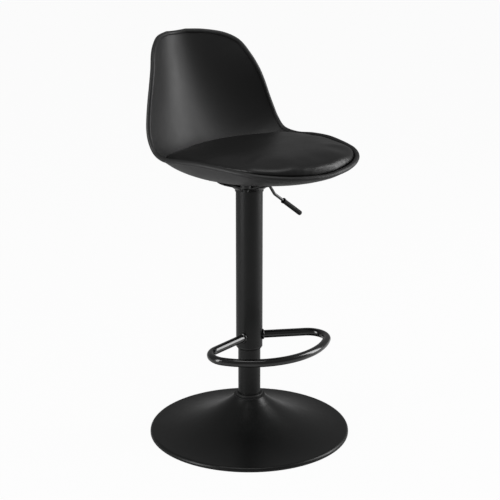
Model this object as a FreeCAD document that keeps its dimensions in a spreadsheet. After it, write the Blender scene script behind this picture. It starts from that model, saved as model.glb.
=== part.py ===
import FreeCAD, Part
import math
import os

import Sketcher
from FreeCAD import Placement, Rotation, Vector

# Bar stool with a gas lift, a loop footrest and a bucket seat.
# Frame: millimetres, +Z up, origin on the floor at the column's axis, the sitter faces -Y.
# The seat is drawn in its lowest position, with the lift resting on its bump stop.

SIZES = [
    # base
    ("base_radius", 205.0, "outer radius of the trumpet base"),
    ("base_wall", 2.0, "sheet of the trumpet base"),
    ("base_edge_round", 6.0, "rolled edge of the base"),
    ("base_edge_height", 9.2, "height of the base at its rolled edge"),
    ("base_lift", 1.0, "bottom of the base sheet above the floor"),
    ("base_sweep_share", 1.283, "radius of the long hollow sweep, as a share of the base radius"),
    ("base_throat", 90.0, "radius of the tighter sweep at the throat"),
    ("throat_radius", 44.5, "where the two sweeps meet, from the axis"),
    ("throat_height", 67.5, "where the two sweeps meet, above the floor"),
    ("throat_slope", 51.0, "angle of the common normal of the two sweeps, degrees"),
    ("neck_height", 80.0, "top of the trumpet"),
    ("pad_thickness", 2.0, "floor pad"),
    ("pad_radius", 198.0, "floor pad"),
    ("ballast_radius", 196.0, "ballast plate"),
    ("ballast_thickness", 5.0, "ballast plate"),
    ("base_bolt_radius", 6.0, "bolt that holds the column"),
    ("base_bolt_head", 9.0, "radius of its head"),
    ("base_bolt_head_height", 2.8, "height of its head"),
    # column
    ("stand_radius", 22.7, "stand tube, outside"),
    ("tube_wall", 1.5, "wall of both tubes"),
    ("stand_top", 420.0, "top of the stand tube"),
    ("foot_height", 23.0, "height of the threaded foot in the stand tube"),
    ("collar_radius", 27.6, "trim collar round the stand tube"),
    ("collar_flange", 31.4, "flange of the trim collar on the neck"),
    ("collar_height", 6.0, "trim collar above the neck"),
    ("collar_spigot", 8.0, "trim collar inside the neck"),
    ("guide_length", 30.0, "guide bush inside the stand tube"),
    ("cover_radius", 26.9, "cover tube, outside"),
    ("cover_bottom", 190.0, "bottom of the cover tube"),
    ("cover_top", 520.0, "top of the cover tube"),
    ("bush_drop", 6.0, "bush showing below the cover tube"),
    ("bush_length", 26.0, "bush inside the cover tube"),
    ("bush_chamfer", 2.7, "taper at the bottom of the bush"),
    ("slide_gap", 0.05, "radial clearance of each running fit"),
    ("seat_gap", 0.05, "radial clearance of each fixed fit"),
    # gas lift
    ("rod_radius", 5.0, "piston rod"),
    ("rod_bottom", 22.0, "bottom of the piston rod"),
    ("seat_disc_height", 5.0, "disc that carries the lift"),
    ("race_radius", 13.0, "thrust bearing races"),
    ("race_height", 2.5, "thrust bearing races"),
    ("ball_radius", 2.5, "thrust bearing balls"),
    ("ball_circle", 9.0, "circle of the balls"),
    ("ball_count", 10.0, "number of balls"),
    ("clip_radius", 7.8, "retaining clip"),
    ("clip_height", 1.6, "retaining clip"),
    ("bump_height", 6.0, "bump stop"),
    ("bump_radius", 12.0, "bump stop"),
    ("lift_radius", 14.0, "gas cylinder, outside"),
    ("lift_bore", 12.0, "gas cylinder, bore radius"),
    ("lift_top", 515.0, "top of the gas cylinder"),
    ("lift_cap", 12.0, "end wall of the gas cylinder"),
    ("lift_taper", 45.0, "length of the taper"),
    ("taper_drop", 1.0, "radius lost over the taper"),
    ("gland_height", 20.0, "rod gland"),
    ("piston_height", 10.0, "piston"),
    ("piston_top", 475.0, "top of the piston"),
    ("button_radius", 3.0, "valve button"),
    ("button_height", 8.0, "valve button above the cylinder"),
    ("button_depth", 11.0, "valve button inside the cylinder"),
    # seat mechanism
    ("hub_radius", 19.0, "taper hub"),
    ("hub_bottom", 470.0, "bottom of the taper hub"),
    ("hub_disc", 4.0, "disc of the hub that centres the cover tube"),
    ("plate_bottom", 540.0, "underside of the seat plate"),
    ("plate_thickness", 3.0, "seat plate"),
    ("plate_side", 124.0, "seat plate"),
    ("plate_corner", 18.0, "corner radius of the seat plate"),
    ("bolt_spacing", 107.0, "seat bolts, both ways"),
    ("bolt_radius", 3.0, "seat bolts"),
    ("bolt_head", 5.0, "seat bolt heads"),
    ("bolt_head_height", 4.0, "seat bolt heads"),
    ("washer_radius", 7.0, "washers"),
    ("washer_height", 1.2, "washers"),
    ("spacer_radius", 10.0, "spacers under the shell"),
    ("spacer_front", 8.2, "height of the two front spacers before they are fitted to the shell"),
    ("spacer_rear", 5.0, "height of the two rear spacers before they are fitted to the shell"),
    ("cup_wall", 1.5, "pressed cup under the seat"),
    ("cup_sleeve", 4.0, "straight part of the cup"),
    ("cup_mid_radius", 43.0, "cup, middle"),
    ("cup_mid_height", 11.0, "cup, middle above its sleeve"),
    ("cup_top_radius", 67.0, "cup, top"),
    # lever
    ("lever_radius", 3.0, "lever rod"),
    ("lever_height", 526.6, "straight part of the lever above the floor"),
    ("pivot_reach", 24.0, "lever pivot from the axis"),
    ("pivot_radius", 1.2, "lever pivot pin"),
    ("grip_radius", 5.0, "grip"),
    ("grip_length", 60.0, "grip"),
    ("grip_angle", 37.6, "fall of the grip, degrees"),
    ("lug_thickness", 2.0, "lugs of the pivot bracket"),
    # footrest
    ("hoop_height", 212.5, "centre of the footrest tube above the floor"),
    ("hoop_radius", 8.0, "footrest tube"),
    ("hoop_front", 157.0, "radius of the front arc"),
    ("hoop_offset", 3.5, "centre of the front arc before the axis"),
    ("hoop_corner", 37.6, "radius of the two corners"),
    ("arm_angle", 21.5, "arms swept forward, degrees"),
    ("arm_offset", 5.0, "arms before the axis"),
    ("hoop_turn", -10.0, "turn of the footrest about the column, degrees"),
    ("weld_size", 2.4, "weld beads of the footrest"),
    # seat
    ("seat_width", 352.0, "widest part of the bucket"),
    ("shell_wall", 4.0, "thickness of the shell"),
    ("cushion_gap", 0.7, "between the shell and the cushion"),
    ("cushion_edge", 5.0, "height of the cushion's edge band"),
    ("cushion_share", 0.955, "width of the cushion as a share of the shell"),
    ("cushion_limit", 604.0, "highest line of the cushion's edge, above the floor"),
    ("cushion_crown", 6.0, "rise of the cushion above its edge"),
]


class Size:
    """A size: its value now and the expression on the sheet that gives it."""

    def __init__(self, value, text):
        self.value = value
        self.text = text

    def _with(self, other, sign):
        value = other.value if isinstance(other, Size) else float(other)
        text = other.text if isinstance(other, Size) else repr(float(other))
        results = {"+": self.value + value, "-": self.value - value, "*": self.value * value}
        result = self.value / value if sign == "/" else results[sign]
        return Size(result, f"({self.text} {sign} {text})")

    def __add__(self, other):
        return self._with(other, "+")

    def __sub__(self, other):
        return self._with(other, "-")

    def __mul__(self, other):
        return self._with(other, "*")

    def __truediv__(self, other):
        return self._with(other, "/")


doc = FreeCAD.newDocument("bar_stool")
sheet = doc.addObject("Spreadsheet::Sheet", "Sizes")
size = {}
for row, (alias, value, note) in enumerate(SIZES, start=1):
    sheet.set(f"A{row}", alias)
    sheet.set(f"B{row}", str(value))
    sheet.set(f"C{row}", note)
    sheet.setAlias(f"B{row}", alias)
    size[alias] = Size(value, f"Sizes.{alias}")
doc.recompute()

ZERO = Size(0.0, "0")
nodes = {}


def keep(obj, name):
    """Name an object as a sub-part."""
    obj.Label = name
    nodes[name] = obj
    return obj


def value_of(item):
    return item.value if isinstance(item, Size) else float(item)


def origin_plane(body, role):
    """The body's own origin plane or axis with the given role."""
    return next(item for item in body.Origin.OriginFeatures if item.Role == role)


def new_body(name):
    body = doc.addObject("PartDesign::Body", name)
    return keep(body, name)


def new_sketch(body, name, role):
    sketch = body.newObject("Sketcher::SketchObject", name)
    sketch.AttachmentSupport = [(origin_plane(body, role), "")]
    sketch.MapMode = "FlatFace"
    return sketch


def bind(sketch, constraint, item):
    """Add a dimensional constraint and tie it to the sheet."""
    index = sketch.addConstraint(constraint)
    if isinstance(item, Size):
        sketch.setExpression(f"Constraints[{index}]", item.text)


def place_point(sketch, geo, vertex, x, y):
    """Fix a vertex at (x, y) of its sketch, both read from the sheet."""
    for axis, item, kind in ((-2, x, "DistanceX"), (-1, y, "DistanceY")):
        if abs(value_of(item)) < 1e-9:
            sketch.addConstraint(Sketcher.Constraint("PointOnObject", geo, vertex, axis))
        else:
            bind(sketch, Sketcher.Constraint(kind, -1, 1, geo, vertex, value_of(item)), item)


def arc_between(start, end, radius):
    """Arc of a circle from start to end; a negative radius puts the centre on the right."""
    chord = end - start
    half = chord.Length / 2
    rise = math.sqrt(max(radius * radius - half * half, 0.0))
    side = Vector(-chord.y, chord.x, 0).normalize() * (rise if radius > 0 else -rise)
    centre = (start + end) / 2 + side
    first, second = (start, end) if radius > 0 else (end, start)
    angles = [math.atan2(p.y - centre.y, p.x - centre.x) for p in (first, second)]
    if angles[1] < angles[0]:
        angles[1] += 2 * math.pi
    return Part.ArcOfCircle(Part.Circle(centre, Vector(0, 0, 1), abs(radius)), angles[0], angles[1])


def outline(sketch, corners):
    """Closed outline of (x, y) or (x, y, radius, side) corners; the radius shapes the edge after it."""
    points = [Vector(value_of(c[0]), value_of(c[1]), 0) for c in corners]
    ends = []
    for i, corner in enumerate(corners):
        start, end = points[i], points[(i + 1) % len(points)]
        if len(corner) > 2:
            side = corner[3]
            geo = sketch.addGeometry(arc_between(start, end, value_of(corner[2]) * side), False)
            ends.append((geo, 1, 2) if side > 0 else (geo, 2, 1))
        else:
            geo = sketch.addGeometry(Part.LineSegment(start, end), False)
            ends.append((geo, 1, 2))
    for i, corner in enumerate(corners):
        geo, first, last = ends[i]
        following = ends[(i + 1) % len(ends)]
        sketch.addConstraint(Sketcher.Constraint("Coincident", geo, last, following[0], following[1]))
    for i, corner in enumerate(corners):
        geo, first, _ = ends[i]
        place_point(sketch, geo, first, corner[0], corner[1])
        if len(corner) > 2:
            bind(sketch, Sketcher.Constraint("Radius", geo, value_of(corner[2])), corner[2])


def turned(name, corners):
    """A body turned about Z from an outline of (radius, height) corners."""
    body = new_body(name)
    sketch = new_sketch(body, name + "_profile", "XZ_Plane")
    outline(sketch, corners)
    feature = body.newObject("PartDesign::Revolution", name + "_turn")
    feature.Profile = sketch
    feature.ReferenceAxis = (sketch, ["V_Axis"])
    feature.Angle = 360
    return body


def ring(name, inner, outer, bottom, top):
    """A plain tube or disc about Z."""
    return turned(name, [(inner, bottom), (outer, bottom), (outer, top), (inner, top)])


def cut_slot(body, name, low, high, width):
    """Cut a window through the +X side of a turned body, between two heights."""
    sketch = new_sketch(body, name, "YZ_Plane")
    left = Size(-width.value / 2, f"(-{width.text} / 2)")
    right = width / 2
    outline(sketch, [(left, low), (right, low), (right, high), (left, high)])
    pocket = body.newObject("PartDesign::Pocket", name + "_cut")
    pocket.Profile = sketch
    pocket.Type = 1
    pocket.Reversed = True
    before = body.Shape.Volume
    doc.recompute()
    if body.Shape.Volume >= before:
        raise RuntimeError(f"{name} cut nothing")
    return pocket


def primitive(kind, name, place=None, **sizes):
    """A Part primitive whose properties are tied to the sheet."""
    obj = doc.addObject("Part::" + kind, name)
    for prop, item in sizes.items():
        if isinstance(item, Size):
            obj.setExpression(prop, item.text)
        else:
            setattr(obj, prop, item)
    for axis, item in zip("xyz", place or ()):
        if isinstance(item, Size):
            obj.setExpression(f".Placement.Base.{axis}", item.text)
        else:
            setattr(obj.Placement.Base, axis, item)
    return obj


def combine(kind, name, first, second):
    """Part::Cut or Part::Common of two objects."""
    obj = doc.addObject("Part::" + kind, name)
    obj.Base = first
    obj.Tool = second
    return obj


def fuse(name, pieces):
    obj = doc.addObject("Part::MultiFuse", name)
    obj.Shapes = pieces
    return obj


def sized(alias):
    return size[alias]


# ---------------------------------------------------------------- base

pad_top = sized("pad_thickness")
ballast_top = pad_top + sized("ballast_thickness")
slope = math.radians(sized("throat_slope").value)
wall = sized("base_wall")
throat_r, throat_z = sized("throat_radius"), sized("throat_height")
inner_throat_r = throat_r - wall * math.cos(slope)
inner_throat_z = throat_z - wall * math.sin(slope)
throat_centre = (
    throat_r.value + sized("base_throat").value * math.cos(slope),
    throat_z.value + sized("base_throat").value * math.sin(slope),
)


def neck_radius(radius):
    """Radius of the throat's sweep at the neck's height."""
    rise = throat_centre[1] - sized("neck_height").value
    return throat_centre[0] - math.sqrt(radius * radius - rise * rise)


base_sweep = sized("base_radius") * sized("base_sweep_share")
edge_r = sized("base_radius") - sized("base_edge_round")
edge_z = sized("base_edge_height") - sized("base_edge_round")
inner_round = sized("base_edge_round") - wall
turned("base_shell", [
    (neck_radius(sized("base_throat").value), sized("neck_height"), sized("base_throat"), 1),
    (throat_r, throat_z, base_sweep, 1),
    (edge_r, sized("base_edge_height"), sized("base_edge_round"), -1),
    (sized("base_radius"), edge_z),
    (sized("base_radius"), sized("base_lift")),
    (sized("base_radius") - wall, sized("base_lift")),
    (sized("base_radius") - wall, edge_z, inner_round, 1),
    (edge_r, sized("base_edge_height") - wall, base_sweep + wall, -1),
    (inner_throat_r, inner_throat_z, sized("base_throat") + wall, -1),
    (neck_radius(sized("base_throat").value + wall.value), sized("neck_height")),
])

turned("base_floor_pad", [
    (ZERO, ZERO), (sized("pad_radius"), ZERO), (sized("pad_radius"), pad_top), (ZERO, pad_top),
])
head_top = pad_top + 0.2 + sized("base_bolt_head_height")
turned("base_ballast", [
    (sized("base_bolt_head") + 0.5, pad_top),
    (sized("ballast_radius"), pad_top),
    (sized("ballast_radius"), ballast_top),
    (sized("base_bolt_radius") + 0.3, ballast_top),
    (sized("base_bolt_radius") + 0.3, head_top),
    (sized("base_bolt_head") + 0.5, head_top),
])
turned("base_bolt", [
    (ZERO, pad_top + 0.2),
    (sized("base_bolt_head"), pad_top + 0.2),
    (sized("base_bolt_head"), head_top),
    (sized("base_bolt_radius"), head_top),
    (sized("base_bolt_radius"), ballast_top + 12.0),
    (ZERO, ballast_top + 12.0),
])

# ---------------------------------------------------------------- stand tube

stand_inner = sized("stand_radius") - sized("tube_wall")
foot_top = ballast_top + sized("foot_height")
disc_top = foot_top + sized("seat_disc_height")
ring("stand_tube", stand_inner, sized("stand_radius"), ballast_top, sized("stand_top"))
turned("stand_foot", [
    (sized("base_bolt_radius") + sized("seat_gap"), ballast_top),
    (stand_inner - sized("seat_gap"), ballast_top),
    (stand_inner - sized("seat_gap"), foot_top),
    (sized("clip_radius") + 0.6, foot_top),
    (sized("clip_radius") + 0.6, ballast_top + 13.0),
    (sized("base_bolt_radius") + sized("seat_gap"), ballast_top + 13.0),
])
ring("lift_seat", sized("rod_radius") + sized("slide_gap"), stand_inner - sized("seat_gap"),
     foot_top, disc_top)
turned("base_collar", [
    (sized("stand_radius") + sized("seat_gap"), sized("neck_height") - sized("collar_spigot")),
    (sized("collar_radius") + 1.6, sized("neck_height") - sized("collar_spigot")),
    (sized("collar_radius") + 1.6, sized("neck_height")),
    (sized("collar_flange"), sized("neck_height")),
    (sized("collar_flange"), sized("neck_height") + 1.5),
    (sized("collar_radius"), sized("neck_height") + 1.5),
    (sized("collar_radius"), sized("neck_height") + sized("collar_height") - 1.0),
    (sized("collar_radius") - 1.0, sized("neck_height") + sized("collar_height")),
    (sized("stand_radius") + sized("seat_gap"), sized("neck_height") + sized("collar_height")),
])
turned("stand_guide_bush", [
    (sized("lift_radius") + sized("slide_gap"), sized("stand_top") - sized("guide_length")),
    (stand_inner - sized("seat_gap"), sized("stand_top") - sized("guide_length")),
    (stand_inner - sized("seat_gap"), sized("stand_top")),
    (sized("stand_radius"), sized("stand_top")),
    (sized("stand_radius"), sized("stand_top") + 2.0),
    (sized("lift_radius") + sized("slide_gap"), sized("stand_top") + 2.0),
])

# ---------------------------------------------------------------- gas lift

race_one = disc_top + sized("race_height")
race_two = race_one + sized("ball_radius") * 2
race_top = race_two + sized("race_height")
bump_top = race_top + sized("bump_height")
ring("bearing_lower_race", sized("rod_radius") + 0.4, sized("race_radius"), disc_top, race_one)
ring("bearing_upper_race", sized("rod_radius") + sized("seat_gap"), sized("race_radius"),
     race_two, race_top)
balls = []
for i in range(int(sized("ball_count").value)):
    ball = primitive("Sphere", f"ball_{i + 1}", Radius=sized("ball_radius") - 0.02)
    turn = f"360 * {i} / Sizes.ball_count"
    ball.setExpression(".Placement.Base.x", f"Sizes.ball_circle * cos({turn})")
    ball.setExpression(".Placement.Base.y", f"Sizes.ball_circle * sin({turn})")
    ball.setExpression(".Placement.Base.z", (race_one + sized("ball_radius")).text)
    balls.append(ball)
keep(fuse("bearing_balls", balls), "bearing_balls")

ring("rod_clip", sized("rod_radius") - 0.6, sized("clip_radius"),
     foot_top - 0.1 - sized("clip_height"), foot_top - 0.1)
ring("bump_stop", sized("rod_radius") + sized("seat_gap"), sized("bump_radius"), race_top, bump_top)

piston_r = sized("lift_bore") - sized("slide_gap")
clip_low = foot_top - 0.15 - sized("clip_height")
turned("piston_rod", [
    (ZERO, sized("rod_bottom")),
    (sized("rod_radius"), sized("rod_bottom")),
    (sized("rod_radius"), clip_low),
    (sized("rod_radius") - 0.7, clip_low),
    (sized("rod_radius") - 0.7, foot_top - 0.05),
    (sized("rod_radius"), foot_top - 0.05),
    (sized("rod_radius"), sized("piston_top") - sized("piston_height")),
    (piston_r, sized("piston_top") - sized("piston_height")),
    (piston_r, sized("piston_top")),
    (ZERO, sized("piston_top")),
])

lift_bottom = bump_top
gland_top = lift_bottom + sized("gland_height")
ring("rod_gland", sized("rod_radius") + sized("slide_gap"), sized("lift_bore") - sized("seat_gap"),
     lift_bottom, gland_top)
taper_r = sized("lift_radius") - sized("taper_drop")
cap_bottom = sized("lift_top") - sized("lift_cap")
turned("gas_cylinder", [
    (sized("lift_bore"), lift_bottom),
    (sized("lift_radius"), lift_bottom),
    (sized("lift_radius"), sized("lift_top") - sized("lift_taper")),
    (taper_r, sized("lift_top")),
    (sized("button_radius") + sized("slide_gap"), sized("lift_top")),
    (sized("button_radius") + sized("slide_gap"), cap_bottom),
    (sized("lift_bore") - 0.6, cap_bottom),
    (sized("lift_bore") - 0.6, cap_bottom - 0.6),
    (sized("lift_bore"), cap_bottom - 0.6),
])
button_top = sized("lift_top") + sized("button_height")
turned("valve_button", [
    (ZERO, sized("lift_top") - sized("button_depth")),
    (sized("button_radius"), sized("lift_top") - sized("button_depth")),
    (sized("button_radius"), button_top - 1.0),
    (sized("button_radius") - 1.0, button_top),
    (ZERO, button_top),
])

# ---------------------------------------------------------------- cover tube and footrest

cover_inner = sized("cover_radius") - sized("tube_wall")
ring("cover_tube", cover_inner, sized("cover_radius"), sized("cover_bottom"), sized("cover_top"))
bush_bottom = sized("cover_bottom") - sized("bush_drop")
bush_inner = sized("stand_radius") + sized("slide_gap")
turned("cover_bush", [
    (bush_inner, bush_bottom),
    (sized("cover_radius") - sized("bush_chamfer"), bush_bottom),
    (sized("cover_radius"), sized("cover_bottom") - 2.2),
    (sized("cover_radius"), sized("cover_bottom")),
    (cover_inner - sized("seat_gap"), sized("cover_bottom")),
    (cover_inner - sized("seat_gap"), sized("cover_bottom") + sized("bush_length")),
    (bush_inner, sized("cover_bottom") + sized("bush_length")),
])

beta = math.radians(sized("arm_angle").value)
along = Vector(math.cos(beta), -math.sin(beta), 0)
forward = Vector(-math.sin(beta), -math.cos(beta), 0)
arm_start = Vector(0, -sized("arm_offset").value, 0)
front_centre = Vector(0, -sized("hoop_offset").value, 0)
corner_r, front_r = sized("hoop_corner").value, sized("hoop_front").value


def corner_centre():
    """Centre of the corner arc that touches the arm and the front arc."""
    base = arm_start + forward * corner_r - front_centre
    reach = front_r - corner_r
    b = base.dot(along)
    c = base.dot(base) - reach * reach
    return arm_start + forward * corner_r + along * (-b + math.sqrt(b * b - c))


def hoop_spine(body):
    """Centre line of the footrest: arm, corner, front arc, corner, arm."""
    sketch = new_sketch(body, "hoop_spine", "XY_Plane")
    sketch.setExpression(".AttachmentOffset.Base.z", "Sizes.hoop_height")
    middle = corner_centre()
    touch_arm = middle - forward * corner_r
    outward = (middle - front_centre).normalize()
    touch_front = front_centre + outward * front_r
    inner_end = arm_start + along * (sized("cover_radius").value - 8)

    def flip(v):
        return Vector(-v.x, v.y, 0)

    def arc(centre, radius, first, second):
        angles = [math.atan2(p.y - centre.y, p.x - centre.x) for p in (first, second)]
        if angles[1] < angles[0]:
            angles[1] += 2 * math.pi
        circle = Part.Circle(centre, Vector(0, 0, 1), radius)
        return sketch.addGeometry(Part.ArcOfCircle(circle, *angles), False)

    right_arm = sketch.addGeometry(Part.LineSegment(inner_end, touch_arm), False)
    right_corner = arc(middle, corner_r, touch_front, touch_arm)
    front = arc(front_centre, front_r, flip(touch_front), touch_front)
    left_corner = arc(flip(middle), corner_r, flip(touch_arm), flip(touch_front))
    left_arm = sketch.addGeometry(Part.LineSegment(flip(inner_end), flip(touch_arm)), False)
    joins = ((right_arm, 2, right_corner, 2), (right_corner, 1, front, 2),
             (front, 1, left_corner, 2), (left_corner, 1, left_arm, 2))
    for one, end_one, two, end_two in joins:
        sketch.addConstraint(Sketcher.Constraint("Tangent", one, end_one, two, end_two))
    bind(sketch, Sketcher.Constraint("Radius", right_corner, corner_r), sized("hoop_corner"))
    sketch.addConstraint(Sketcher.Constraint("Equal", right_corner, left_corner))
    bind(sketch, Sketcher.Constraint("Radius", front, front_r), sized("hoop_front"))
    place_point(sketch, front, 3, ZERO, Size(-sized("hoop_offset").value, "(-Sizes.hoop_offset)"))
    place_point(sketch, right_arm, 1, inner_end.x, inner_end.y)
    place_point(sketch, left_arm, 1, -inner_end.x, inner_end.y)
    return sketch, inner_end


def make_hoop():
    body = new_body("footrest_hoop")
    spine, inner_end = hoop_spine(body)
    profile = body.newObject("Sketcher::SketchObject", "hoop_profile")
    profile.AttachmentSupport = [(spine, "Edge1")]
    profile.MapMode = "NormalToEdge"
    doc.recompute()
    profile.addGeometry(Part.Circle(Vector(0, 0, 0), Vector(0, 0, 1), sized("hoop_radius").value), False)
    profile.addConstraint(Sketcher.Constraint("Coincident", 0, 3, -1, 1))
    bind(profile, Sketcher.Constraint("Radius", 0, sized("hoop_radius").value), sized("hoop_radius"))
    pipe = body.newObject("PartDesign::AdditivePipe", "hoop_pipe")
    pipe.Profile = profile
    pipe.Spine = (spine, [f"Edge{i}" for i in range(1, 6)])
    doc.recompute()
    mouth = new_sketch(body, "hoop_mouth", "XY_Plane")
    mouth.addGeometry(Part.Circle(Vector(0, 0, 0), Vector(0, 0, 1), sized("cover_radius").value), False)
    mouth.addConstraint(Sketcher.Constraint("Coincident", 0, 3, -1, 1))
    clear = sized("cover_radius") + sized("seat_gap")
    bind(mouth, Sketcher.Constraint("Radius", 0, clear.value), clear)
    pocket = body.newObject("PartDesign::Pocket", "hoop_mouth_cut")
    pocket.Profile = mouth
    pocket.Type = 1
    pocket.Midplane = True
    doc.recompute()
    body.setExpression(".Placement.Rotation.Angle", "Sizes.hoop_turn")
    return body


make_hoop()
doc.recompute()


def make_welds():
    """A weld bead round each arm where it meets the cover tube."""
    beads = []
    reach = math.sqrt(sized("cover_radius").value ** 2 - sized("arm_offset").value ** 2)
    for sign in (1, -1):
        heading = Vector(along.x * sign, along.y, 0)
        bead = primitive("Torus", "bead_right" if sign > 0 else "bead_left",
                         Radius1=sized("hoop_radius") + 0.4, Radius2=sized("weld_size"))
        centre = Vector(0, arm_start.y, sized("hoop_height").value) + heading * (reach - 1.2)
        turn = Rotation(Vector(0, 0, 1), sized("hoop_turn").value)
        bead.Placement = Placement(turn.multVec(centre), turn * Rotation(Vector(0, 0, 1), heading))
        beads.append(bead)
    both = fuse("weld_beads", beads)
    tube = primitive("Cylinder", "weld_tube_space", place=(0, 0, sized("hoop_height") - 40),
                     Radius=sized("cover_radius") + sized("seat_gap"), Height=80)
    outside = combine("Cut", "weld_outside", both, tube)
    return combine("Cut", "footrest_welds", outside, nodes["footrest_hoop"])


keep(make_welds(), "footrest_welds")

# ---------------------------------------------------------------- seat mechanism

hub_bore = sized("lift_radius") + sized("seat_gap")
disc_low = sized("cover_top") - 14.0
hub = turned("taper_hub", [
    (hub_bore, sized("hub_bottom")),
    (sized("hub_radius"), sized("hub_bottom")),
    (sized("hub_radius"), disc_low),
    (cover_inner - sized("seat_gap"), disc_low),
    (cover_inner - sized("seat_gap"), disc_low + sized("hub_disc")),
    (sized("hub_radius"), disc_low + sized("hub_disc")),
    (sized("hub_radius"), sized("plate_bottom")),
    (hub_bore - sized("taper_drop"), sized("plate_bottom")),
    (hub_bore - sized("taper_drop"), sized("hub_bottom") + sized("lift_taper")),
])
doc.recompute()
window_width = sized("lever_radius") * 2 + 3.0
cut_slot(hub, "hub_window", sized("lever_height") - 10.0, sized("lever_height") + 6.0, window_width)

cup_low = sized("cover_top") - sized("cup_sleeve")
cup_in = sized("cover_radius") + 0.1
cup_wall = sized("cup_wall")
cup = turned("seat_cup", [
    (cup_in, cup_low),
    (cup_in + cup_wall, cup_low),
    (cup_in + cup_wall, sized("cover_top")),
    (sized("cup_mid_radius"), sized("cover_top") + sized("cup_mid_height")),
    (sized("cup_top_radius"), sized("plate_bottom") - 1.4),
    (sized("cup_top_radius"), sized("plate_bottom")),
    (sized("cup_top_radius") - 4.0, sized("plate_bottom")),
    (sized("cup_mid_radius") - 0.6, sized("cover_top") + sized("cup_mid_height") + cup_wall),
    (cup_in, sized("cover_top") + 1.0),
])
doc.recompute()
cut_slot(cup, "cup_window", sized("lever_height") - 9.0, sized("lever_height") + 8.0, window_width)

plate_top = sized("plate_bottom") + sized("plate_thickness")


def make_plate():
    body = new_body("seat_plate")
    sketch = new_sketch(body, "plate_outline", "XY_Plane")
    sketch.setExpression(".AttachmentOffset.Base.z", "Sizes.plate_bottom")
    half = sized("plate_side") / 2
    minus = Size(-half.value, f"(-{half.text})")
    outline(sketch, [(minus, minus), (half, minus), (half, half), (minus, half)])
    hole_r = sized("bolt_radius") + 0.3
    reach = sized("bolt_spacing") / 2
    for x_sign in (-1, 1):
        for y_sign in (-1, 1):
            centre = Vector(x_sign * reach.value, y_sign * reach.value, 0)
            geo = sketch.addGeometry(Part.Circle(centre, Vector(0, 0, 1), hole_r.value), False)
            bind(sketch, Sketcher.Constraint("Radius", geo, hole_r.value), hole_r)
            place_point(sketch, geo, 3,
                        reach if x_sign > 0 else Size(-reach.value, f"(-{reach.text})"),
                        reach if y_sign > 0 else Size(-reach.value, f"(-{reach.text})"))
    pad = body.newObject("PartDesign::Pad", "plate_pad")
    pad.Profile = sketch
    pad.setExpression("Length", "Sizes.plate_thickness")
    doc.recompute()
    corners = []
    for i, edge in enumerate(pad.Shape.Edges, start=1):
        ends = edge.Vertexes
        if len(ends) == 2 and abs(ends[0].Point.x - ends[1].Point.x) < 1e-6 \
                and abs(ends[0].Point.y - ends[1].Point.y) < 1e-6 \
                and abs(abs(ends[0].Point.x) - half.value) < 1e-6:
            corners.append(f"Edge{i}")
    fillet = body.newObject("PartDesign::Fillet", "plate_corners")
    fillet.Base = (pad, corners)
    fillet.setExpression("Radius", "Sizes.plate_corner")
    doc.recompute()
    return body


make_plate()


def at_bolts(name, build):
    """The same small piece at each of the four seat bolts, as one object."""
    copies = []
    for i, (x_sign, y_sign) in enumerate(((1, 1), (-1, 1), (-1, -1), (1, -1)), start=1):
        copies.append(build(f"{name}_{i}", f"{x_sign} * Sizes.bolt_spacing / 2",
                            f"{y_sign} * Sizes.bolt_spacing / 2"))
    return fuse(name, copies)


def post(name, x_text, y_text, radius, bottom, height):
    """An upright cylinder at a place read from the sheet."""
    obj = primitive("Cylinder", name, Radius=radius, Height=height)
    for axis, text in (("x", x_text), ("y", y_text), ("z", bottom.text)):
        obj.setExpression(f".Placement.Base.{axis}", text)
    return obj


washer_low = sized("plate_bottom") - sized("washer_height")
head_low = washer_low - sized("bolt_head_height")


def one_bolt(name, x_text, y_text):
    shank = post(name + "_shank", x_text, y_text, sized("bolt_radius"), head_low,
                 sized("bolt_head_height") + sized("washer_height") + sized("plate_thickness") + 1.6)
    head = post(name + "_head", x_text, y_text, sized("bolt_head"), head_low,
                sized("bolt_head_height"))
    socket = post(name + "_socket", x_text, y_text, sized("bolt_head") / 2, head_low - 0.5,
                  sized("bolt_head_height") / 2 + 0.5)
    return combine("Cut", name, fuse(name + "_whole", [shank, head]), socket)


def one_washer(name, x_text, y_text):
    disc = post(name + "_disc", x_text, y_text, sized("washer_radius"), washer_low,
                sized("washer_height"))
    hole = post(name + "_hole", x_text, y_text, sized("bolt_radius") + 0.2, washer_low - 1.0,
                sized("washer_height") + 2.0)
    return combine("Cut", name, disc, hole)


def one_spacer(name, x_text, y_text):
    disc = post(name + "_disc", x_text, y_text, sized("spacer_radius"), plate_top,
                sized("spacer_front") if y_text.startswith("-") else sized("spacer_rear"))
    hole = post(name + "_hole", x_text, y_text, sized("bolt_radius") + sized("seat_gap"),
                plate_top - 1.0, sized("spacer_front") + 2.0)
    return combine("Cut", name, disc, hole)


keep(at_bolts("seat_bolts", one_bolt), "seat_bolts")
keep(at_bolts("seat_washers", one_washer), "seat_washers")
spacers_raw = at_bolts("spacers_raw", one_spacer)

# ---------------------------------------------------------------- lever

lever_z = sized("lever_height")
grip_turn = math.radians(sized("grip_angle").value)
grip_start = Vector(89, 0, lever_z.value - 47.6)
grip_way = Vector(math.cos(grip_turn), 0, -math.sin(grip_turn))


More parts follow.
